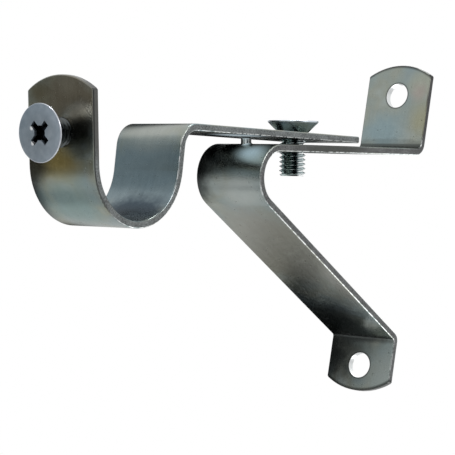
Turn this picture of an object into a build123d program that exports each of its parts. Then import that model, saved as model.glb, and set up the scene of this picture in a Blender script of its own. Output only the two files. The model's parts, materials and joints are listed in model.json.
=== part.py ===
# Adjustable curtain pole bracket in zinc-plated strip steel.
# A wall bracket bent from one strip (upper tab, arm, nose, brace, lower tab) carries a slotted
# pole hook bent from a second strip. A clamp screw holds the hook on the arm, and a pole screw
# in the hook's upright grips the pole.
# Frame: +X along the pole, +Y into the wall, +Z up. The origin lies on the wall plane,
# midway between the two wall holes.
import os
from math import asin, atan2, cos, degrees, radians, sin, tan

from build123d import *

# Strips
strip_width = 18.0
wall_gauge = 1.6
hook_gauge = 1.5
edge_round = 0.35          # long edges and the hook's tail, softened by tumbling and plating
rim_break = 0.2            # arched ends, deburred

# Wall bracket
hole_spacing = 66.5        # between the two wall holes
wall_hole = 6.0            # diameter
upper_hole_rise = 13.2     # from the top of the arm's root to the upper hole
upper_end = 7.6            # from the upper hole to the crown of the tab
foot_drop = 6.75           # from the foot of the brace to the lower hole
lower_end = 6.1            # from the lower hole to the crown of the tab
tab_crown = 2.65           # rise of an arched tab end over its shoulders
arm_dip = 12.0             # the arm leaves the wall this far below square
arm_length = 54.4          # flat of the arm's top, from the tab to the nose
corner_radius = 1.5        # inside bend between upper tab and arm
nose_radius = 5.7          # inside bend between arm and brace
foot_radius = 0.6          # inside bend between brace and lower tab
pip_lead = 16.8            # from the clamp screw's tapped hole to the pip that props the hook
pip_overrun = 1.2          # from the end of the arm's flat to the pip, over the start of the nose
pip_diameter = 2.3
pip_height = 1.42
pip_break = 0.3            # chamfer round its top
pip_foot_round = 0.4       # draw of the metal round its foot
pip_hollow = 1.3           # diameter of the punch mark under the pip
pip_skin = 0.9             # metal left over the punch mark

# Pole hook
hook_tilt = 1.4            # rise of the hook's arm against the wall bracket's arm
hook_tail = 13.7           # arm behind the clamp screw
hook_flat = 57.3           # flat of the hook's arm, from its tail to its bend
tail_corner = 0.8          # rounded corners of the tail
shoulder_radius = 3.6      # inside bend between arm and back wall
shoulder_turn = 84.0
back_wall = 5.3            # flat between the shoulder bend and the saddle
pole_diameter = 22.0
pole_play = 0.45           # between pole and saddle, on the radius
saddle_sweep = 170.0
upright_length = 14.5      # flat from the saddle to the upright's shoulders
upright_crown = 2.95
pole_screw_drop = 8.25     # from the upright's shoulders to the pole screw
travel_out = 4.0           # slide of the hook away from the wall
travel_in = 6.0            # slide of the hook towards the wall
slot_end_play = 0.5        # room left at each end of the slot

# Screws: countersunk, cross recess, the thread drawn at its crest
thread_diameter = 5.9
thread_clearance = 0.05    # on the radius, in the tapped strips
slot_clearance = 0.25      # on the radius, in the hook's slot
head_diameter = 11.5
head_rim = 0.35            # straight rim over the cone
tip_chamfer = 0.4
clamp_screw_length = 12.5
pole_screw_length = 7.7
pole_screw_standoff = 5.65  # from the upright to the face of the head
recess_span = 5.7
recess_wing = 1.2
recess_core = 2.7
recess_depth = 2.2
recess_taper = 7.0
recess_angle = 45.0        # wings against the width of the strip
seat_gap = 0.05            # between the hook and what props or holds it

# Derived sizes
half_width = strip_width / 2
thread_radius = thread_diameter / 2
tapped_radius = thread_radius + thread_clearance
slot_radius = thread_radius + slot_clearance
head_radius = head_diameter / 2
head_height = head_rim + head_radius - thread_radius
saddle_radius = pole_diameter / 2 + pole_play
arm_root = hole_spacing / 2 - upper_hole_rise
pip_place = arm_length + pip_overrun
clamp_place = pip_place - pip_lead
arm_tilt = Rot(arm_dip, 0, 0)
standing = (Align.CENTER, Align.CENTER, Align.MIN)


def bent_strip(line, gauge):
    """Strip that follows a side profile, its gauge to the left of the line."""
    section = make_face(offset(line, amount=gauge, side=Side.LEFT).edges())
    return extrude(Plane.YZ * section, amount=half_width, both=True)


def outline(faces):
    """Edges around some faces of a strip, apart from those that two of the faces share."""
    edges = [edge for face in faces for edge in face.edges()]
    return [edge for edge in edges if sum(edge.is_same(other) for other in edges) == 1]


def arch_end(strip, place, crown, gauge):
    """Arch the end of a strip; the plane lies on the strip with its y axis out of the end."""
    arch = (half_width**2 + crown**2) / (2 * crown)
    corners = Pos(0, -crown / 2) * Rectangle(2 * strip_width, crown) - Pos(0, -arch) * Circle(arch)
    return strip - extrude(place * corners, amount=2 * gauge, both=True)


def screw(length):
    """Countersunk screw along -z, with the face of its head at z = 0."""
    profile = Polyline(
        (0, 0),
        (head_radius, 0),
        (head_radius, -head_rim),
        (thread_radius, -head_height),
        (thread_radius, tip_chamfer - length),
        (thread_radius - tip_chamfer, -length),
        (0, -length),
        close=True,
    )
    turned = revolve(Plane.XZ * make_face(profile), Axis.Z)
    wings = Rectangle(recess_span, recess_wing) + Rectangle(recess_wing, recess_span)
    mouth = Rot(0, 0, recess_angle) * (wings + Circle(recess_core / 2))
    return turned - extrude(mouth, amount=-recess_depth, taper=recess_taper)


# Wall bracket: its line follows the front of the tabs and the outside of arm and brace
nose_outside = nose_radius + wall_gauge
tab_front = -wall_gauge
arm_forward = Vector(-cos(radians(arm_dip)), -sin(radians(arm_dip)))
arm_below = Vector(sin(radians(arm_dip)), -cos(radians(arm_dip)))
arm_corner = Vector(tab_front, arm_root)
foot_corner = Vector(tab_front, foot_drop - hole_spacing / 2)
nose_center = arm_corner + arm_forward * arm_length + arm_below * nose_outside

# The brace runs from the foot and touches the outside of the nose
reach = nose_center - foot_corner
brace_slope = degrees(atan2(reach.Y, -reach.X) - asin(nose_outside / reach.length))
brace_angle = arm_dip + brace_slope
nose_tangent = nose_outside / tan(radians(brace_angle / 2))
nose_apex = arm_corner + arm_forward * (arm_length + nose_tangent)
upper_crown = hole_spacing / 2 + upper_end
lower_crown = -hole_spacing / 2 - lower_end

wall_line = FilletPolyline(
    (tab_front, upper_crown),
    arm_corner,
    nose_apex,
    foot_corner,
    (tab_front, lower_crown),
    radius=[corner_radius, nose_outside, foot_radius],
)
upper_plane = Plane(origin=(0, 0, upper_crown), x_dir=(-1, 0, 0), z_dir=(0, 1, 0))
lower_plane = Plane(origin=(0, 0, lower_crown), x_dir=(1, 0, 0), z_dir=(0, 1, 0))
wall_bracket = bent_strip(wall_line, wall_gauge)
wall_bracket = fillet(outline(wall_bracket.faces().filter_by(Axis.X)), edge_round)
wall_bracket = arch_end(wall_bracket, upper_plane, tab_crown, wall_gauge)
wall_bracket = arch_end(wall_bracket, lower_plane, tab_crown, wall_gauge)
wall_faces = wall_bracket.faces().sort_by(Axis.Z)
wall_bracket = chamfer(outline([wall_faces[0], wall_faces[-1]]), rim_break)


def on_arm(place):
    """Location on the arm's top at a distance from the tab, z square to the arm."""
    spot = arm_corner + arm_forward * place
    return Pos(0, spot.X, spot.Y) * arm_tilt


for side in (1, -1):
    wall_spot = Pos(0, 0, side * hole_spacing / 2) * Rot(90, 0, 0)
    wall_bracket -= wall_spot * Cylinder(wall_hole / 2, 4 * wall_gauge)
wall_bracket -= on_arm(clamp_place) * Cylinder(tapped_radius, 4 * wall_gauge)

# Pip: pressed up from below where the arm turns into the nose
pip_root = wall_gauge / 2
punch_root = 2 * wall_gauge
pip = Pos(0, 0, -pip_root) * Cylinder(pip_diameter / 2, pip_root + pip_height, align=standing)
pip = chamfer(pip.edges().sort_by(Axis.Z)[-1], pip_break)
punch = Pos(0, 0, -punch_root) * Cylinder(pip_hollow / 2, punch_root + pip_height - pip_skin, align=standing)
pip = on_arm(pip_place) * pip
pip_foot = new_edges(wall_bracket, pip, combined=wall_bracket + pip)
wall_bracket = fillet(pip_foot, pip_foot_round)
wall_bracket -= on_arm(pip_place) * punch

# Pole hook, in its own frame: y back along its arm, z = 0 on its underside at the clamp screw
arm_line = Line((hook_tail, hook_gauge), (hook_tail - hook_flat, hook_gauge))
shoulder_line = JernArc(arm_line @ 1, arm_line % 1, shoulder_radius + hook_gauge, shoulder_turn)
wall_flat = PolarLine(shoulder_line @ 1, back_wall, direction=shoulder_line % 1)
saddle_line = JernArc(wall_flat @ 1, wall_flat % 1, saddle_radius, -saddle_sweep)
upright_line = PolarLine(saddle_line @ 1, upright_length + upright_crown, direction=saddle_line % 1)
hook_line = arm_line + shoulder_line + wall_flat + saddle_line + upright_line

rise = upright_line % 1
upright_up = Vector(0, rise.X, rise.Y)
upright_front = Vector(0, -rise.Y, rise.X)
upright_tip = Vector(0, (upright_line @ 1).X, (upright_line @ 1).Y)
upright_plane = Plane(origin=upright_tip, x_dir=upright_up.cross(upright_front), z_dir=upright_front)

pole_hook = bent_strip(hook_line, hook_gauge)
tail_edges = pole_hook.edges().filter_by(Axis.Z).group_by(Axis.Y)[-1]
pole_hook = fillet(tail_edges, tail_corner)
tail_faces = pole_hook.faces().sort_by(Axis.Y)[-3:]
pole_hook = fillet(outline([*tail_faces, *pole_hook.faces().filter_by(Axis.X)]), edge_round)
pole_hook = arch_end(pole_hook, upright_plane, upright_crown, hook_gauge)
pole_hook = chamfer(outline([pole_hook.faces().sort_by(Axis.Z)[-1]]), rim_break)

slot_run = travel_in + travel_out + 2 * slot_end_play
slot = SlotCenterToCenter(slot_run, 2 * slot_radius)
slot_middle = (travel_out - travel_in) / 2
pole_hook -= extrude(Pos(0, slot_middle) * Rot(0, 0, 90) * slot, amount=2 * hook_gauge)

screw_spot = upright_tip - upright_up * (upright_crown + pole_screw_drop)
grip_plane = Plane(origin=screw_spot, x_dir=(1, 0, 0), z_dir=upright_front)
pole_hook -= grip_plane * Cylinder(tapped_radius, 4 * hook_gauge)
pole_screw = grip_plane * Pos(0, 0, hook_gauge + pole_screw_standoff) * screw(pole_screw_length)

# Assembly: the hook lies on the pip, and the clamp screw's cone holds the lips of its slot
clamp_gap = pip_height + seat_gap - pip_lead * tan(radians(hook_tilt))
slot_lip = clamp_gap + hook_gauge / cos(radians(hook_tilt))
clamp_face = slot_lip + seat_gap + head_rim + head_radius - slot_radius
clamp_screw = on_arm(clamp_place) * Pos(0, 0, clamp_face) * screw(clamp_screw_length)
hook_place = on_arm(clamp_place) * Pos(0, 0, clamp_gap) * Rot(-hook_tilt, 0, 0)
pole_hook = hook_place * pole_hook
pole_screw = hook_place * pole_screw

nodes = {
    "wall_bracket": wall_bracket,
    "pole_hook": pole_hook,
    "clamp_screw": clamp_screw,
    "pole_screw": pole_screw,
}
os.makedirs("parts", exist_ok=True)
for name, shape in nodes.items():
    export_step(shape, f"parts/{name}.step")
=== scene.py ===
import json
from math import atan2, radians, tan, tau

import bpy
from mathutils import Euler, Matrix, Vector


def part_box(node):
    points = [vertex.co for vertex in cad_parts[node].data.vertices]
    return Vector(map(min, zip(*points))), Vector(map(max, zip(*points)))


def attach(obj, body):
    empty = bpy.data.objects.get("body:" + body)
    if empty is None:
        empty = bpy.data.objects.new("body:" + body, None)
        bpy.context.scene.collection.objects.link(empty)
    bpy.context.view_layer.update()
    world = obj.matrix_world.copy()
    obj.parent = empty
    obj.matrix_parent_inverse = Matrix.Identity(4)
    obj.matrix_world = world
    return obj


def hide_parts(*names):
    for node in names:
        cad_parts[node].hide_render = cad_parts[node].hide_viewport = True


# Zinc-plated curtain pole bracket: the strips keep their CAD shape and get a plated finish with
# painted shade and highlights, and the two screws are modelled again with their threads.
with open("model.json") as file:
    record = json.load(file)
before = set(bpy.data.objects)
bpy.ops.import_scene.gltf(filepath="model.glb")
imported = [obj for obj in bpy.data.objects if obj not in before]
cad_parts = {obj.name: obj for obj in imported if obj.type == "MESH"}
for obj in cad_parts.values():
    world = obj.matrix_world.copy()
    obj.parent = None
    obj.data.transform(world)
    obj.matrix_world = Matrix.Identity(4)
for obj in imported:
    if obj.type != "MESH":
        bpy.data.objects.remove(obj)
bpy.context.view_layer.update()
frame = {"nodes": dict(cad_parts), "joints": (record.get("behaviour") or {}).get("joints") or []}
scene = bpy.context.scene
mm = 0.001
print("frame loaded:", ", ".join(sorted(frame["nodes"])))


# Shader maths as plain expressions
class Wire:
    def __init__(self, tree, socket=None):
        self.tree = tree
        self.socket = socket

    def add(self, kind, settings=None, sockets=None, out=0):
        node = self.tree.nodes.new("ShaderNode" + kind)
        for name, value in (settings or {}).items():
            if name == "stops":
                self.setStops(node.color_ramp.elements, value)
            else:
                setattr(node, name, value)
        for name, value in (sockets or {}).items():
            if isinstance(value, Wire):
                self.tree.links.new(value.socket, node.inputs[name])
            else:
                node.inputs[name].default_value = value
        return Wire(self.tree, node.outputs[out] if node.outputs else None)

    def setStops(self, elements, stops):
        while len(elements) < len(stops):
            elements.new(1.0)
        for element, (place, colour) in zip(elements, stops):
            element.position = place
            element.color = colour

    def math(self, operation, *values):
        return self.add("Math", {"operation": operation}, dict(enumerate(values)))

    def __add__(self, other):
        return self.math("ADD", self, other)

    def __radd__(self, other):
        return self.math("ADD", other, self)

    def __sub__(self, other):
        return self.math("SUBTRACT", self, other)

    def __rsub__(self, other):
        return self.math("SUBTRACT", other, self)

    def __mul__(self, other):
        return self.math("MULTIPLY", self, other)

    def __rmul__(self, other):
        return self.math("MULTIPLY", other, self)

    def __abs__(self):
        return self.math("ABSOLUTE", self)

    def smooth(self, low, high):
        ends = {"Value": self, "From Min": low, "From Max": high}
        return self.add("MapRange", {"interpolation_type": "SMOOTHSTEP"}, ends)

    def vector(self, operation, *others, out=0):
        return self.add("VectorMath", {"operation": operation}, dict(enumerate((self, *others))), out)

    def stretched(self, *scale):
        return self.vector("MULTIPLY", scale)

    def moved(self, step):
        return self.vector("ADD", step)

    def offset(self, point):
        return self.vector("SUBTRACT", point)

    def length(self):
        return self.vector("LENGTH", out="Value")

    def along(self, direction):
        return self.vector("DOT_PRODUCT", direction, out="Value")

    def axis(self, name):
        return self.add("SeparateXYZ", None, {0: self}, out=name)

    def noise(self, size, detail=2.0, rough=0.5):
        sockets = {"Vector": self, "Scale": 1 / size, "Detail": detail, "Roughness": rough}
        return self.add("TexNoise", None, sockets)

    def ramp(self, stops):
        return self.add("ValToRGB", {"stops": stops}, {"Fac": self})

    def tinted(self, colour, factor, mode="MIX"):
        settings = {"data_type": "RGBA", "blend_type": mode}
        return self.add("Mix", settings, {0: factor, 6: self, 7: colour}, out=2)

    def darkened(self, colour):
        return self.tinted(colour, 1.0, "MULTIPLY")

    def grey(self):
        return self.add("CombineColor", None, {0: self, 1: self, 2: self})


def newMaterial(name):
    material = bpy.data.materials.new(name)
    material.use_nodes = True
    material.node_tree.nodes.clear()
    return material, Wire(material.node_tree)


def closeMaterial(base, sockets):
    shader = base.add("BsdfPrincipled", None, sockets)
    base.add("OutputMaterial", None, {"Surface": shader})


def weighted(start, weights, layers):    # start plus each layer at its weight
    total = start
    for name, weight in weights.items():
        total = layers[name] * weight + total
    return total


# Plated strip: cloudy passivation tints, rolling streaks along the strip, duller sheared flanks, painted
# highlights on lower near edges and in holes, and painted shade on far edges and round holes and arches.
# Sizes are in mm. A fade gives the two values between which a mask grows from none to full.
plating = {
    "cloudDetail": 2.0,
    "streak": {"size": 0.45, "detail": 3.0},
    "streakStretch": (1.0, 0.03, 0.03),          # long along the strip
    "mottle": {"size": 1.6, "detail": 3.0, "rough": 0.6},
    "speck": {"size": 0.7, "detail": 1.0},
    "speckFade": (0.72, 0.78),
    "shear": {"size": 0.35, "detail": 4.0, "rough": 0.75},
    "shearStretch": (0.35, 1.0, 1.0),
    "shearFade": (0.3, 0.7),
    "burnish": {"size": 3.0, "detail": 2.0},
    "burnishFade": (0.35, 0.65),
    "sparkle": {"size": 0.9, "detail": 2.0},
    "sparkleFade": (0.38, 0.58),
    # edges, by how far the surface turns to the side or upwards
    "flankFade": (0.80, 0.98),
    "nearEdgeFade": (0.35, 0.60),
    "nearFlankFade": (0.90, 0.99),
    "farEdgeFade": (0.05, 0.40),
    "upwardFade": (-0.1, 0.4),
    "topFade": 4.0,
    "frontFade": 6.0,
    "edgeShadeStrength": 0.8,
    "edgeHighlightStrength": 0.9,
    # patches, holes and arched ends
    "patchFade": (0.2, 0.6),
    "patchStrength": 0.9,
    "boreFade": (0.01, 0.05),
    "ringStrength": 0.85,
    "shoulderFade": 1.0,
    "rimEdge": 0.2,
    # how the layers add up
    "shearTone": 0.25,
    "shearWeights": {"shearMark": 1.1, "burnish": 0.25},
    "unevenStart": -0.4,
    "unevenWeights": {"mottle": 0.3, "cloud": 0.5},
    "tone": 0.82,
    "toneWeights": {"streak": 0.14, "mottle": 0.22, "speck": -0.3},
    "roughWeights": {"streak": 0.06, "mottle": 0.05, "flank": 0.10, "speck": 0.2},
    "heightWeights": {"mottle": 0.35, "streak": 0.25, "speck": -0.6, "shearRelief": 1.2},
    "bumpStrength": 0.25,
    "bumpDepth": 0.02 * mm,
}


def plateLayers(place, look):
    spot = place.moved(look["noiseOffset"])
    shear = spot.stretched(*plating["shearStretch"]).noise(**plating["shear"])
    return {
        "cloud": spot.noise(look["cloudSize"], plating["cloudDetail"]),
        "streak": spot.stretched(*plating["streakStretch"]).noise(**plating["streak"]),
        "mottle": spot.noise(**plating["mottle"]),
        "speck": spot.noise(**plating["speck"]).smooth(*plating["speckFade"]),
        "shear": shear,
        "shearMark": shear.smooth(*plating["shearFade"]),
        "burnish": spot.noise(**plating["burnish"]).smooth(*plating["burnishFade"]),
        "sparkle": spot.noise(**plating["sparkle"]).smooth(*plating["sparkleFade"]),
    }


# near edges that face down get a painted highlight, up to a height and back from the front: in front of
# that, and on the far side, edges get painted shade
def plateEdges(place, normal, look, sparkle):
    across = normal.axis("X")
    topStart = look["highlightTop"]
    frontEnd = look["highlightFront"]
    flank = abs(across).smooth(*plating["flankFade"])
    farEdge = (0 - across).smooth(*plating["farEdgeFade"]) * (1 - flank)
    nearEdge = across.smooth(*plating["nearEdgeFade"]) * (1 - across.smooth(*plating["nearFlankFade"]))
    downward = 1 - normal.axis("Z").smooth(*plating["upwardFade"])
    lowDown = 1 - place.axis("Z").smooth(topStart, topStart + plating["topFade"])
    inFront = 1 - place.axis("Y").smooth(frontEnd, frontEnd + plating["frontFade"])
    edgeHighlight = nearEdge * downward * lowDown * sparkle * (1 - inFront)
    return flank, edgeHighlight, farEdge + nearEdge * inFront


# a patch paints colour near its centre, where the surface faces its side; the patches hold plating
# tints, painted shade and painted highlights
def paintPatch(colour, place, normal, patch, uneven):
    away = place.offset(patch["centre"]).stretched(*(1 / part for part in patch["reach"])).length()
    inside = 1 - (away + uneven).smooth(patch["core"], 1.0)
    facing = normal.along(patch["side"]).smooth(*plating["patchFade"])
    return colour.tinted(patch["colour"], inside * facing * plating["patchStrength"])


# painted shade in a ring round a hole, and a painted highlight on the hole's wall
def markHole(colour, place, centre, look):
    away = place.offset(centre).stretched(1, 0, 1).length()
    inner, outer = (look["holeRadius"] + step for step in plating["boreFade"])
    rimShade = 1 - away.smooth(outer, outer + look["ringWidth"])
    boreHighlight = 1 - away.smooth(inner, outer)
    return colour.tinted(look["rimShade"], rimShade * plating["ringStrength"]).tinted(look["boreHighlight"], boreHighlight)


# painted shade along the rim of an arched end
def markArch(colour, place, arch, look):
    offset = place.offset(arch["centre"])
    shoulder = look["archShoulder"]
    beyond = offset.along(arch["side"]).smooth(shoulder, shoulder + plating["shoulderFade"])
    outer = look["archRadius"] - plating["rimEdge"]
    rim = offset.stretched(1, 0, 1).length().smooth(look["archRadius"] - look["rimWidth"], outer)
    return colour.tinted(look["rimShade"], rim * beyond * plating["ringStrength"])


def zincStrip(name, look):
    material, base = newMaterial(name)
    place = base.add("TexCoord", out="Object").stretched(1 / mm, 1 / mm, 1 / mm)
    normal = base.add("TexCoord", out="Normal")
    layers = plateLayers(place, look)
    flank, edgeHighlight, edgeShade = plateEdges(place, normal, look, layers["sparkle"])
    layers["flank"] = flank
    layers["shearRelief"] = flank * layers["shear"]
    shearTone = weighted(plating["shearTone"], plating["shearWeights"], layers)
    sheared = shearTone.grey().darkened(look["flank"])
    colour = layers["cloud"].ramp(look["tints"]).tinted(sheared, flank)
    uneven = weighted(plating["unevenStart"], plating["unevenWeights"], layers)
    for patch in look["patches"]:
        colour = paintPatch(colour, place, normal, patch, uneven)
    colour = colour.darkened(weighted(plating["tone"], plating["toneWeights"], layers).grey())
    # painted shade on far edges and front edges, painted highlight on lower near edges
    colour = colour.tinted(look["edgeShade"], edgeShade * plating["edgeShadeStrength"])
    colour = colour.tinted(look["edgeHighlight"], edgeHighlight * plating["edgeHighlightStrength"])
    # painted shade round holes and along arch rims, painted highlight in the holes
    for centre in look["holes"]:
        colour = markHole(colour, place, centre, look)
    for arch in look["arches"]:
        colour = markArch(colour, place, arch, look)
    bump = base.add("Bump", None, {
        "Strength": plating["bumpStrength"], "Distance": plating["bumpDepth"],
        "Height": weighted(0.0, plating["heightWeights"], layers),
    })
    closeMaterial(base, {
        "Base Color": colour, "Metallic": 1.0, "Normal": bump,
        "Roughness": weighted(look["roughness"], plating["roughWeights"], layers),
    })
    return material


def plate(node, look):
    mesh = frame["nodes"][node].data
    mesh.materials.clear()
    mesh.materials.append(zincStrip(node + "_zinc", look))
    print(node, "plated,", len(look["patches"]), "patches")


# sides that patches face
front = (0, -1, 0)
nearFlank = (1, 0, 0)
underBrace = (0, -0.4, -1)
underSaddle = (0, -0.7, -0.7)

wallFinish = {
    "tints": [
        (0.32, (0.222, 0.278, 0.288, 1)),
        (0.45, (0.242, 0.283, 0.268, 1)),
        (0.56, (0.262, 0.284, 0.250, 1)),
        (0.68, (0.295, 0.335, 0.320, 1)),
    ],
    "flank": (0.130, 0.134, 0.134, 1),
    # painted highlight on lower near edges, painted shade on the other edges
    "edgeHighlight": (0.62, 0.64, 0.64, 1),
    "highlightTop": 20.0,             # not on the upper tab
    "highlightFront": -200.0,         # everywhere behind this
    "edgeShade": (0.060, 0.063, 0.063, 1),
    "roughness": 0.20,
    "cloudSize": 9.0,
    "noiseOffset": (3.0, 0.0, 0.0),
    "holes": [(0, 0, 33.25), (0, 0, -33.25)],
    "holeRadius": 3.0,
    # painted highlight on the holes' walls, painted shade round them and along the arch rims
    "boreHighlight": (0.70, 0.72, 0.72, 1),
    "rimShade": (0.030, 0.032, 0.030, 1),
    "ringWidth": 0.45,
    "arches": [
        {"centre": (0, 0, 24.25), "side": (0, 0, 1)},
        {"centre": (0, 0, -22.75), "side": (0, 0, -1)},
    ],
    "archRadius": 16.6,
    "archShoulder": 11.0,           # from an arch's centre to the ends of the arc
    "rimWidth": 0.9,
    "patches": [
        {   # dark shear along the upper tab's flank
            "centre": (9, -1, 33), "reach": (16, 16, 16), "core": 0.6,
            "side": nearFlank, "colour": (0.055, 0.055, 0.055, 1),
        },
        {   # duller flank of the arm
            "centre": (9, -36, 12), "reach": (8, 22, 9), "core": 0.2,
            "side": nearFlank, "colour": (0.070, 0.074, 0.068, 1),
        },
        {   # straw, blue and pale clouds on the upper tab
            "centre": (8, -1.6, 27), "reach": (5, 5, 7), "core": 0.1,
            "side": front, "colour": (0.290, 0.290, 0.205, 1),
        },
        {
            "centre": (-2, -1.6, 24), "reach": (9, 9, 8), "core": 0.2,
            "side": front, "colour": (0.215, 0.290, 0.310, 1),
        },
        {
            "centre": (7, -1.6, 36), "reach": (6, 6, 5), "core": 0.2,
            "side": front, "colour": (0.300, 0.320, 0.270, 1),
        },
        {   # faint pink beside the upper hole
            "centre": (6.5, -1.6, 34), "reach": (3.5, 3.5, 3.5), "core": 0.0,
            "side": front, "colour": (0.318, 0.290, 0.262, 1),
        },
        {   # sheared end of the upper tab and the bend below it, in painted shade
            "centre": (0, -0.8, 41), "reach": (14, 4, 6), "core": 0.8,
            "side": (0, 0, 1), "colour": (0.055, 0.060, 0.055, 1),
        },
        {
            "centre": (0, -2.2, 20.8), "reach": (14, 2.2, 2.2), "core": 0.7,
            "side": (0, -0.35, 1), "colour": (0.055, 0.062, 0.058, 1),
        },
        {   # painted highlight on the pip and on the nose beside it
            "centre": (0, -56.4, 9.3), "reach": (2.4, 2.4, 2.4), "core": 0.7,
            "side": (0, -1, 0.2), "colour": (0.70, 0.74, 0.74, 1),
        },
        {
            "centre": (4, -59, 6), "reach": (6, 4, 4), "core": 0.1,
            "side": (0, -0.8, 0.6), "colour": (0.400, 0.470, 0.490, 1),
        },
        {   # warmer brace
            "centre": (0, -40, -12), "reach": (16, 24, 12), "core": 0.5,
            "side": underBrace, "colour": (0.262, 0.268, 0.238, 1),
        },
        {   # painted shade at the foot of the brace, left of the lower tab and in the bend between them
            "centre": (-3, -6, -25), "reach": (13, 17, 10), "core": 0.3,
            "side": underBrace, "colour": (0.018, 0.026, 0.026, 1),
        },
        {
            "centre": (-9, -1.6, -31), "reach": (13, 6, 13), "core": 0.1,
            "side": front, "colour": (0.016, 0.018, 0.018, 1),
        },
        {
            "centre": (0, -2.2, -26.6), "reach": (14, 1.6, 1.6), "core": 0.4,
            "side": (0, -1, -0.3), "colour": (0.060, 0.066, 0.064, 1),
        },
        {   # painted highlight on the right side of the lower tab, the brace and the nose
            "centre": (8, -1.6, -36), "reach": (8, 4, 9), "core": 0.1,
            "side": front, "colour": (0.300, 0.340, 0.325, 1),
        },
        {
            "centre": (9, -25, -17), "reach": (5, 14, 9), "core": 0.1,
            "side": underBrace, "colour": (0.370, 0.376, 0.340, 1),
        },
        {
            "centre": (3, -59, -3), "reach": (9, 5, 6), "core": 0.2,
            "side": (0, -1, -0.3), "colour": (0.380, 0.415, 0.400, 1),
        },
        {   # painted shade on the left side of the nose and of its top
            "centre": (-9.5, -59.5, 0), "reach": (6.5, 6, 10), "core": 0.3,
            "side": (0, -0.9, -0.4), "colour": (0.028, 0.032, 0.032, 1),
        },
        {
            "centre": (-8, -59, 6), "reach": (6.5, 4, 4.5), "core": 0.2,
            "side": (0, -0.77, 0.64), "colour": (0.020, 0.026, 0.026, 1),
        },
    ],
}
plate("wall_bracket", wallFinish)

hookFinish = {
    "tints": [
        (0.32, (0.208, 0.275, 0.290, 1)),
        (0.45, (0.238, 0.275, 0.260, 1)),
        (0.56, (0.270, 0.284, 0.230, 1)),
        (0.68, (0.300, 0.335, 0.318, 1)),
    ],
    "flank": (0.160, 0.172, 0.172, 1),
    # painted highlight on lower near edges, painted shade on the other edges
    "edgeHighlight": (0.64, 0.66, 0.66, 1),
    "highlightTop": 100.0,            # at every height
    "highlightFront": -106.0,         # not on the upright
    "edgeShade": (0.060, 0.063, 0.063, 1),
    "roughness": 0.20,
    "cloudSize": 8.0,
    "noiseOffset": (40.0, 7.0, 0.0),
    "holes": [],
    "arches": [],
    "patches": [
        {   # straw below the pole screw, brown over it
            "centre": (-1, -110.5, -8), "reach": (9, 8, 6), "core": 0.1,
            "side": front, "colour": (0.330, 0.270, 0.105, 1),
        },
        {
            "centre": (3, -114, 4), "reach": (13, 13, 10), "core": 0.3,
            "side": front, "colour": (0.190, 0.172, 0.140, 1),
        },
        {   # painted shade beside the pole screw, its dark reflection
            "centre": (6, -112.4, -1), "reach": (5, 8, 7), "core": 0.1,
            "side": front, "colour": (0.060, 0.058, 0.046, 1),
        },
        {   # painted shade along the left edge, from the upright round to the underside
            "centre": (-8.5, -110.5, -9), "reach": (7.5, 7, 7), "core": 0.2,
            "side": front, "colour": (0.034, 0.033, 0.026, 1),
        },
        {
            "centre": (-10.5, -106.5, -14.5), "reach": (5.5, 9, 9), "core": 0.3,
            "side": underSaddle, "colour": (0.010, 0.011, 0.011, 1),
        },
        {   # teal below the saddle, blue inside it and painted shade along its floor
            "centre": (0, -105, -16), "reach": (10, 10, 10), "core": 0.3,
            "side": underSaddle, "colour": (0.215, 0.300, 0.292, 1),
        },
        {
            "centre": (0, -86.5, -6), "reach": (16, 16, 14), "core": 0.5,
            "side": front, "colour": (0.195, 0.250, 0.275, 1),
        },
        {
            "centre": (1, -92, -14.2), "reach": (12, 10, 7), "core": 0.5,
            "side": (0, -0.5, 0.85), "colour": (0.030, 0.050, 0.070, 1),
        },
        {   # painted shade under the arm
            "centre": (0, -52, 12), "reach": (20, 34, 14), "core": 0.7,
            "side": (0, 0.2, -1), "colour": (0.055, 0.060, 0.064, 1),
        },
        {   # paler shoulder over the saddle
            "centre": (0, -86.8, 4), "reach": (13, 5, 6), "core": 0.2,
            "side": (0, -1, 0.2), "colour": (0.360, 0.380, 0.350, 1),
        },
        {   # mottling at the top of the upright
            "centre": (-6, -114, 5), "reach": (5, 5, 4), "core": 0.1,
            "side": front, "colour": (0.175, 0.160, 0.115, 1),
        },
        {
            "centre": (2, -114.6, 6.5), "reach": (4, 4, 3), "core": 0.0,
            "side": front, "colour": (0.250, 0.238, 0.200, 1),
        },
        {   # duller flank of the upright
            "centre": (9, -112.5, 3), "reach": (6, 10, 13), "core": 0.5,
            "side": nearFlank, "colour": (0.092, 0.092, 0.086, 1),
        },
        {   # sheared end of the upright, in painted shade
            "centre": (0, -115, 9), "reach": (14, 6, 6), "core": 0.8,
            "side": (0, 0.3, 1), "colour": (0.075, 0.075, 0.070, 1),
        },
    ],
}
plate("pole_hook", hookFinish)


# Screws: countersunk heads with a cross recess, and a rolled thread
screwShape = {
    "pitch": 1.0 * mm,
    "threadDepth": 0.58 * mm,       # crest to root
    "crestShare": 0.14,             # of the pitch
    "rootShare": 0.22,
    "threadSteps": 56,
    "spareTurns": 4,                # cut off at the two ends
    "cutGap": 1e-7,
    "chamfer": 0.4 * mm,
    "blankSpare": 0.3 * mm,
    "overlap": 0.6 * mm,            # of the rod into the head
    "sides": 96,
    "rim": 0.35 * mm,
    "rimRound": 0.11 * mm,
    "rimSegments": 3,
    "recessSpan": 5.5 * mm,
    "recessWing": 1.45 * mm,
    "recessCore": 3.1 * mm,
    "recessCoreSides": 32,
    "recessDepth": 2.2 * mm,
    "recessAbove": 0.5 * mm,
    "recessTaper": radians(6),
    "recessEndSlope": radians(9),
    "recessTurn": radians(45),
    "weld": 0.002 * mm,
    "smoothAngle": radians(32),
}
nearlyAll = 0.99                    # of a full normal or radius, to pick flat faces and rim edges


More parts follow.
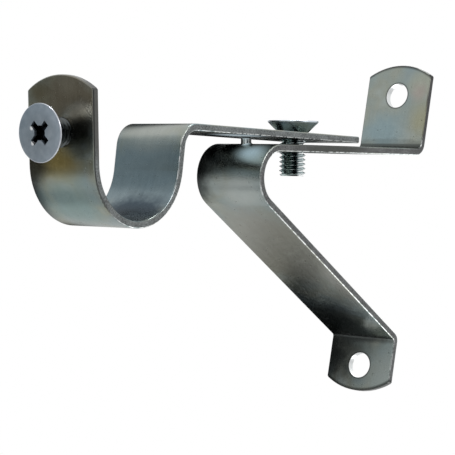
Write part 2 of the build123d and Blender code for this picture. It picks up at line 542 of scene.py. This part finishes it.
def clearSelection():
    if bpy.context.mode != "OBJECT":
        bpy.ops.object.mode_set(mode="OBJECT")
    bpy.ops.object.select_all(action="DESELECT")


def takeUp(piece):
    clearSelection()
    piece.select_set(True)
    bpy.context.view_layer.objects.active = piece


def pick(piece, items, test):
    takeUp(piece)
    bpy.ops.object.mode_set(mode="EDIT")
    bpy.ops.mesh.select_all(action="DESELECT")
    bpy.ops.object.mode_set(mode="OBJECT")
    for item in getattr(piece.data, items):
        item.select = test(item)
    bpy.ops.object.mode_set(mode="EDIT")


def pickAll(piece):
    takeUp(piece)
    bpy.ops.object.mode_set(mode="EDIT")
    bpy.ops.mesh.select_all(action="SELECT")


def applyModifier(piece, kind, **settings):
    takeUp(piece)
    modifier = piece.modifiers.new(kind.lower(), kind)
    for name, value in settings.items():
        setattr(modifier, name, value)
    bpy.ops.object.modifier_apply(modifier=modifier.name)


def carve(piece, tool, operation):
    applyModifier(piece, "BOOLEAN", operation=operation, object=tool, solver="EXACT")
    bpy.data.objects.remove(tool)


def cleanMesh(piece):
    pickAll(piece)
    bpy.ops.mesh.remove_doubles(threshold=screwShape["weld"])
    bpy.ops.mesh.normals_make_consistent(inside=False)
    bpy.ops.object.mode_set(mode="OBJECT")


def threadedRod(crest, top, tip):
    pitch = screwShape["pitch"]
    depth = screwShape["threadDepth"]
    crestFlat = pitch * screwShape["crestShare"]
    rootFlat = pitch * screwShape["rootShare"]
    flankRise = (pitch - crestFlat - rootFlat) / 2
    start = tip - pitch * screwShape["spareTurns"] / 2
    # one point is drawn along a turn's profile, and the profile is swept round
    clearSelection()
    bpy.ops.mesh.primitive_plane_add(size=pitch, location=(0, 0, 0))
    rod = bpy.context.object
    bpy.ops.object.mode_set(mode="EDIT")
    bpy.ops.mesh.merge(type="CENTER")
    bpy.ops.transform.translate(value=(crest - depth, 0, start))
    for step in ((0, 0, rootFlat), (depth, 0, flankRise), (0, 0, crestFlat), (-depth, 0, flankRise)):
        bpy.ops.mesh.extrude_vertices_move(TRANSFORM_OT_translate={"value": step})
    applyModifier(
        rod, "SCREW", axis="Z", angle=tau, screw_offset=pitch,
        iterations=int((top - tip) / pitch) + screwShape["spareTurns"],
        steps=screwShape["threadSteps"], render_steps=screwShape["threadSteps"],
    )
    cleanMesh(rod)
    for height, side in ((top, 1), (tip, -1)):
        pickAll(rod)
        bpy.ops.mesh.bisect(
            plane_co=(0, 0, height), plane_no=(0, 0, side),
            use_fill=True, clear_outer=True, threshold=screwShape["cutGap"],
        )
    cleanMesh(rod)
    carve(rod, chamferBlank(crest, top, tip), "INTERSECT")
    return rod


def chamferBlank(crest, top, tip):    # wider than the rod, with a coned end that cuts the tip
    spare = screwShape["blankSpare"]
    clearSelection()
    bpy.ops.mesh.primitive_cylinder_add(
        vertices=screwShape["sides"], radius=crest + spare, depth=top - tip + spare,
        location=(0, 0, (top + tip + spare) / 2),
    )
    blank = bpy.context.object
    bpy.ops.object.transform_apply(location=True)
    corners = blank.data.vertices
    pick(blank, "edges", lambda edge: all(corners[v].co.z < tip + spare for v in edge.vertices))
    bpy.ops.mesh.bevel(offset=screwShape["chamfer"] + spare, segments=1, affect="EDGES")
    bpy.ops.object.mode_set(mode="OBJECT")
    return blank


def countersunkHead(crest, headRadius):
    rim = screwShape["rim"]
    cone = headRadius - crest
    clearSelection()
    bpy.ops.mesh.primitive_cone_add(
        vertices=screwShape["sides"], radius1=crest, radius2=headRadius, depth=cone,
        location=(0, 0, -rim - cone / 2),
    )
    head = bpy.context.object
    bpy.ops.object.transform_apply(location=True)
    pick(head, "polygons", lambda face: face.normal.z > nearlyAll)
    bpy.ops.mesh.extrude_region_move(TRANSFORM_OT_translate={"value": (0, 0, rim)})
    bpy.ops.object.mode_set(mode="OBJECT")
    corners = head.data.vertices
    pick(head, "edges", lambda edge: isRimEdge(edge, corners, headRadius))
    bpy.ops.mesh.bevel(offset=screwShape["rimRound"], segments=screwShape["rimSegments"], affect="EDGES")
    bpy.ops.object.mode_set(mode="OBJECT")
    for tool in recessTools():
        carve(head, tool, "DIFFERENCE")
    return head


def isRimEdge(edge, corners, headRadius):
    first, second = (corners[v].co for v in edge.vertices)
    onRim = min(first.xy.length, second.xy.length) > headRadius * nearlyAll
    return onRim and abs(first.z - second.z) < screwShape["rim"] / 2


def recessTools():    # two crossed wings and a core, all narrower at the bottom
    span = screwShape["recessSpan"]
    wide = screwShape["recessWing"]
    depth = screwShape["recessDepth"]
    above = screwShape["recessAbove"]
    height = depth + above
    middle = (0, 0, above - height / 2)
    narrowing = depth * tan(screwShape["recessTaper"])
    shorter = 1 - 2 * depth * tan(screwShape["recessEndSlope"]) / span
    thinner = 1 - 2 * narrowing / wide
    tools = []
    for turn in (0, tau / 4):
        clearSelection()
        bpy.ops.mesh.primitive_cube_add(size=1, location=middle)
        wing = bpy.context.object
        wing.scale = (span, wide, height)
        wing.rotation_euler.z = screwShape["recessTurn"] + turn
        bpy.ops.object.transform_apply(location=False, rotation=False, scale=True)
        pick(wing, "polygons", lambda face: face.normal.z < -nearlyAll)
        bpy.ops.transform.resize(value=(shorter, thinner, 1), orient_type="LOCAL")
        bpy.ops.object.mode_set(mode="OBJECT")
        bpy.ops.object.transform_apply(location=True, rotation=True)
        tools.append(wing)
    core = screwShape["recessCore"] / 2
    clearSelection()
    bpy.ops.mesh.primitive_cone_add(
        vertices=screwShape["recessCoreSides"], radius1=core - 2 * narrowing, radius2=core,
        depth=height, location=middle,
    )
    bpy.ops.object.transform_apply(location=True)
    tools.append(bpy.context.object)
    return tools


def measureScrew(node, outward):    # from the CAD node: middle of the face, length, head, thread
    across = outward.cross(Vector((1, 0, 0)))
    points = [vertex.co.copy() for vertex in frame["nodes"][node].data.vertices]
    heights = [point @ outward for point in points]
    sideways = [point @ across for point in points]
    middle = across * (min(sideways) + max(sideways)) / 2
    face = middle + outward * max(heights)
    halfway = (min(heights) + max(heights)) / 2
    crest = max((point - middle - outward * height).length
                for point, height in zip(points, heights) if height < halfway)
    lowest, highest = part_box(node)
    return face, max(heights) - min(heights), (highest.x - lowest.x) / 2, crest


# Screw plating: finer grain than the strips, painted shade in the recess and in the thread's roots,
# a painted highlight on the rim and two painted glints. Sizes are in mm, heights from the face of the
# head.
screwPlating = {
    "colour": [
        (0.35, (0.270, 0.320, 0.372, 1)),
        (0.65, (0.312, 0.362, 0.415, 1)),
    ],
    "grain": {"size": 0.25, "detail": 3.0, "rough": 0.65},
    "mottle": {"size": 1.8, "detail": 2.0},
    "tone": 0.82,
    "toneWeights": {"grain": 0.2, "mottle": 0.16},
    # painted shade in the recess
    "recess": (0.030, 0.035, 0.042, 1),
    "recessRadius": (2.9, 3.0),
    "recessHeight": (-0.7, -0.12),
    # painted glints at the recess's edge
    "glint": (0.95, 0.97, 1.0, 1),
    "glintSpots": [(-1.95, -2.0, -0.2), (-2.15, 0.95, 0.0)],    # at the recess's edge
    "glintReach": (0.25, 0.6),
    "underHeight": (-0.9, -0.45),
    "upwardFade": (0.45, 0.8),
    # painted shade in the thread's roots
    "threadRoot": (0.045, 0.068, 0.070, 1),
    "rightSide": (0.77, 0.64, 0),       # painted light and shade turn round the thread towards this side
    # distances inside the neck, the crests and the rim over which their masks fade
    "neckFade": 0.3,
    "rootFade": 0.1,
    "crestFade": (0.25, 0.05),
    "rimFade": (0.18, 0.08),
    "strength": {"under": 0.8, "root": 0.85, "turn": 0.85, "crest": 0.8, "rim": 0.9, "recess": 0.9},
    "roughness": 0.40,
    "roughWeights": {"grain": 0.12, "under": -0.24, "rim": -0.22},
    "bumpStrength": 0.3,
    "bumpDepth": 0.02 * mm,
}


def zincScrew(look, face, tilt, crest, neck, headRadius):
    material, base = newMaterial(look["name"] + "_zinc")
    centred = base.add("TexCoord", out="Object").offset(face)
    turned = base.add("VectorRotate", {"rotation_type": "X_AXIS"}, {"Vector": centred, "Angle": -tilt})
    local = turned.stretched(1 / mm, 1 / mm, 1 / mm)
    height = local.axis("Z")
    radius = local.stretched(1, 1, 0).length()
    grain = local.noise(**screwPlating["grain"])
    mottle = local.noise(**screwPlating["mottle"])

    # where each tint, painted shade and painted highlight goes
    under = 1 - height.smooth(*screwPlating["underHeight"])
    upward = base.add("TexCoord", out="Normal").axis("Z").smooth(*screwPlating["upwardFade"])
    threaded = 1 - height.smooth(neck - screwPlating["neckFade"], neck)
    root = crest - screwShape["threadDepth"] / mm
    roots = threaded * (1 - radius.smooth(root, crest - screwPlating["rootFade"]))
    crests = threaded * radius.smooth(*(crest - step for step in screwPlating["crestFade"]))
    rim = radius.smooth(*(headRadius - step for step in screwPlating["rimFade"])) * (1 - under)
    deep = 1 - height.smooth(*screwPlating["recessHeight"])
    hollow = (1 - radius.smooth(*screwPlating["recessRadius"])) * deep * (1 - threaded)
    below = under * (1 - hollow)
    rightward = local.along(screwPlating["rightSide"]) * (0.5 / crest) + 0.5
    glints = 0.0
    for centre in screwPlating["glintSpots"]:
        glints = glints + (1 - local.offset(centre).length().smooth(*screwPlating["glintReach"]))

    layers = {"grain": grain, "mottle": mottle, "under": under, "rim": rim}
    tone = weighted(screwPlating["tone"], screwPlating["toneWeights"], layers)
    colour = mottle.ramp(screwPlating["colour"]).darkened(tone.grey())
    strength = screwPlating["strength"]
    # over the plating: the colour under the head, then the painted light and shade
    for tint, mask in (
        (look["underHead"], below * strength["under"]),
        (screwPlating["threadRoot"], roots * strength["root"]),
        (rightward.ramp(look["threadLightAndShade"]), threaded * strength["turn"]),
        (look["crest"], crests * strength["crest"]),
        (look["rim"], rim * strength["rim"]),
        (look["topSide"], below * upward),
        (screwPlating["recess"], hollow * strength["recess"]),
        (screwPlating["glint"], glints),
    ):
        colour = colour.tinted(tint, mask)
    bump = base.add("Bump", None, {
        "Strength": screwPlating["bumpStrength"], "Distance": screwPlating["bumpDepth"], "Height": grain,
    })
    closeMaterial(base, {
        "Base Color": colour, "Metallic": 1.0, "Normal": bump,
        "Roughness": weighted(screwPlating["roughness"], screwPlating["roughWeights"], layers),
    })
    return material


def makeScrew(look, node, outward):
    face, length, headRadius, crest = measureScrew(node, outward)
    neck = -(screwShape["rim"] + headRadius - crest)
    screw = countersunkHead(crest, headRadius)
    carve(screw, threadedRod(crest, neck + screwShape["overlap"], -length), "UNION")
    cleanMesh(screw)
    screw.name = look["name"]
    screw.data.name = look["name"]
    tilt = atan2(-outward.y, outward.z)
    screw.data.transform(Matrix.Translation(face) @ Matrix.Rotation(tilt, 4, "X"))
    takeUp(screw)
    bpy.ops.object.shade_smooth_by_angle(angle=screwShape["smoothAngle"])
    screw.data.materials.clear()
    screw.data.materials.append(zincScrew(look, face, tilt, crest / mm, neck / mm, headRadius / mm))
    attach(screw, node)
    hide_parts(node)
    print(look["name"], "modelled,", len(screw.data.polygons), "faces")


slideAxis = {joint["name"]: Vector(joint["axis"]).normalized() for joint in frame["joints"]}

clampScrew = {
    "name": "clampScrew",
    # painted highlights on the rim and on the thread's crests
    "rim": (0.620, 0.680, 0.740, 1),
    "underHead": (0.300, 0.370, 0.385, 1),
    "topSide": (0.300, 0.370, 0.385, 1),
    "crest": (0.46, 0.52, 0.52, 1),
    "threadLightAndShade": [                 # painted light and shade round the thread, from its left side to its right
        (0.36, (0.420, 0.540, 0.520, 1)),
        (0.46, (0.014, 0.024, 0.026, 1)),
        (0.66, (0.014, 0.024, 0.026, 1)),
        (0.76, (0.97, 1.0, 1.0, 1)),
    ],
}
makeScrew(clampScrew, "clamp_screw", slideAxis["clamp_screw_travel"])

poleScrew = {
    "name": "poleScrew",
    # painted highlights on the rim and on the shank's upper side, painted shade under the head, on the
    # crests and round the thread
    "rim": (0.62, 0.64, 0.69, 1),
    "underHead": (0.060, 0.068, 0.070, 1),
    "topSide": (0.85, 0.87, 0.88, 1),
    "crest": (0.100, 0.110, 0.112, 1),
    "threadLightAndShade": [
        (0.0, (0.100, 0.110, 0.112, 1)),
        (1.0, (0.100, 0.110, 0.112, 1)),
    ],
}
makeScrew(poleScrew, "pole_screw", -slideAxis["pole_screw_travel"])


# Stage: a pale floor well below the bracket, white all round and two soft lamps. Cards with soft
# edges stand in for the room, and show only in reflections.
stageSet = {
    "floorDrop": 150 * mm,
    "floorSize": 2.4,
    "floorColour": (0.86, 0.86, 0.86, 1),
    "floorRoughness": 0.9,
    "skyFill": 0.6,                 # the white sky's light on the object
}
lamps = [
    {"name": "keyLamp", "place": (-0.14, 0.08, 0.85), "size": 0.25, "power": 3.0},
    {"name": "sideLamp", "place": (0.55, -0.05, 0.35), "size": 0.25, "power": 1.2},
]
cardTurns = {
    "upright": (0, 90, 0),          # in planes on the left, opposite the camera
    "level": (0, 0, 0),
    "sloped": (10.6, 0, 0),         # along the wall bracket's arm
    "toScrews": (0, 90, -34),
    "outward": (90, 0, 0),          # out from the wall
}
cardTones = {
    "dark": (0.005, 0.006, 0.006),
    "straw": (0.25, 0.23, 0.18),
    "steel": (0.42, 0.48, 0.51),
    "shade": (0.45, 0.47, 0.48),
    "pale": (0.75, 0.88, 0.95),
    "bright": (3.0, 3.0, 3.0),
}
cards = [    # name, middle and half sizes in mm, turn, tone, and the share that is solid before it fades
    ("lowTabCard", (-60, -64, -20), (28, 34), "upright", "dark", 0.6),
    ("noseCard", (-20, -66, 11), (22, 28), "upright", "dark", 0.5),
    ("noseTopCard", (-20.5, -58, 19), (12, 22), "upright", "dark", 0.6),
    ("bendCard", (-60, 0, 110), (18, 34), "upright", "dark", 0.6),
    ("underCard", (-60, 30, 8), (32, 62), "upright", "dark", 0.6),
    ("braceCard", (-20, -4, -33), (13, 18), "upright", "dark", 0.4),
    ("footCard", (-20.5, 10, -42), (13, 15), "upright", "dark", 0.6),
    ("slopeCard", (-60, 16, -72), (22, 30), "upright", "straw", 0.2),
    ("frontCard", (-60, -118, -70), (26, 30), "upright", "shade", 0.2),
    ("insideCard", (-62, -155, 12), (40, 40), "upright", "steel", 0.6),
    ("shoulderCard", (-63, -150, 50), (35, 30), "upright", "steel", 0.0),
    ("uprightCard", (-61, -178, -26), (36, 34), "upright", "straw", 0.6),
    ("gapCard", (2.6, -62, 8.6), (7, 9), "sloped", "pale", 0.2),
    ("screwCard", (190, -130, -20), (120, 90), "toScrews", "dark", 0.6),
    ("wallCard", (-15, 60, -8), (30, 22), "outward", "bright", 0.6),
    ("glowCard", (45, 70, -115), (50, 100), "level", "bright", 0.6),
]


def makeFloor():
    clearSelection()
    bpy.ops.mesh.primitive_plane_add(size=stageSet["floorSize"], location=(0, 0, -stageSet["floorDrop"]))
    floor = bpy.context.object
    floor.name = "floor"
    material, base = newMaterial("paleFloor")
    closeMaterial(base, {"Base Color": stageSet["floorColour"], "Roughness": stageSet["floorRoughness"]})
    floor.data.materials.append(material)


def makeSky():
    world = bpy.data.worlds.new("whiteSky")
    world.use_nodes = True
    world.node_tree.nodes.clear()
    scene.world = world
    base = Wire(world.node_tree)
    seen = base.add("LightPath", out="Is Camera Ray")
    for ray in ("Is Glossy Ray", "Is Transmission Ray"):
        seen = seen.math("MAXIMUM", seen, base.add("LightPath", out=ray))
    strength = stageSet["skyFill"] + seen * (1 - stageSet["skyFill"])
    sky = base.add("Background", None, {"Color": (1, 1, 1, 1), "Strength": strength})
    base.add("OutputWorld", None, {"Surface": sky})


def makeLamp(name, place, size, power):
    clearSelection()
    bpy.ops.object.light_add(type="AREA", location=place)
    lamp = bpy.context.object
    lamp.name = name
    lamp.data.shape = "DISK"
    lamp.data.size = size
    lamp.data.energy = power
    lamp.rotation_euler = (-Vector(place)).to_track_quat("-Z", "Y").to_euler()
    lamp.visible_camera = False


def fadingCloth(name, tone, core):
    material, base = newMaterial(name)
    away = base.add("TexCoord", out="Object").length()
    closeMaterial(base, {
        "Base Color": (0, 0, 0, 1), "Specular IOR Level": 0.0,
        "Emission Color": (*tone, 1), "Emission Strength": 1.0,
        "Alpha": 1 - away.smooth(core, 1.0),
    })
    return material


def makeCard(name, middle, reach, turn, tone, core):
    clearSelection()
    bpy.ops.mesh.primitive_plane_add(size=2, location=[part * mm for part in middle])
    card = bpy.context.object
    card.name = name
    card.scale = (reach[0] * mm, reach[1] * mm, 1)
    card.rotation_euler = [radians(angle) for angle in cardTurns[turn]]
    card.data.materials.append(fadingCloth(name, cardTones[tone], core))
    card.visible_camera = False
    card.visible_shadow = False
    card.visible_diffuse = False


makeFloor()
makeSky()
for lamp in lamps:
    makeLamp(**lamp)
for card in cards:
    makeCard(*card)
print("stage set,", len(cards), "cards")

# Camera: low on the right, looking up a little, slightly rolled
cameraView = {
    "place": (0.240553, -0.345366, -0.057898),
    "azimuth": 39.93,
    "lookUp": 7.19,
    "roll": 8.61,
    "lens": 137.8,
    "sensor": 36.0,
    "clipStart": 0.01,
}


def makeCamera():
    camera = bpy.data.cameras.new("camera")
    holder = bpy.data.objects.new("camera", camera)
    scene.collection.objects.link(holder)
    aim = Euler((radians(90 + cameraView["lookUp"]), 0, radians(cameraView["azimuth"]))).to_matrix()
    turn = aim @ Matrix.Rotation(radians(cameraView["roll"]), 3, "Z")
    holder.matrix_world = Matrix.Translation(cameraView["place"]) @ turn.to_4x4()
    camera.lens = cameraView["lens"]
    camera.sensor_width = cameraView["sensor"]
    camera.clip_start = cameraView["clipStart"]
    scene.camera = holder


makeCamera()
scene.view_settings.view_transform = "Standard"
print("camera set")
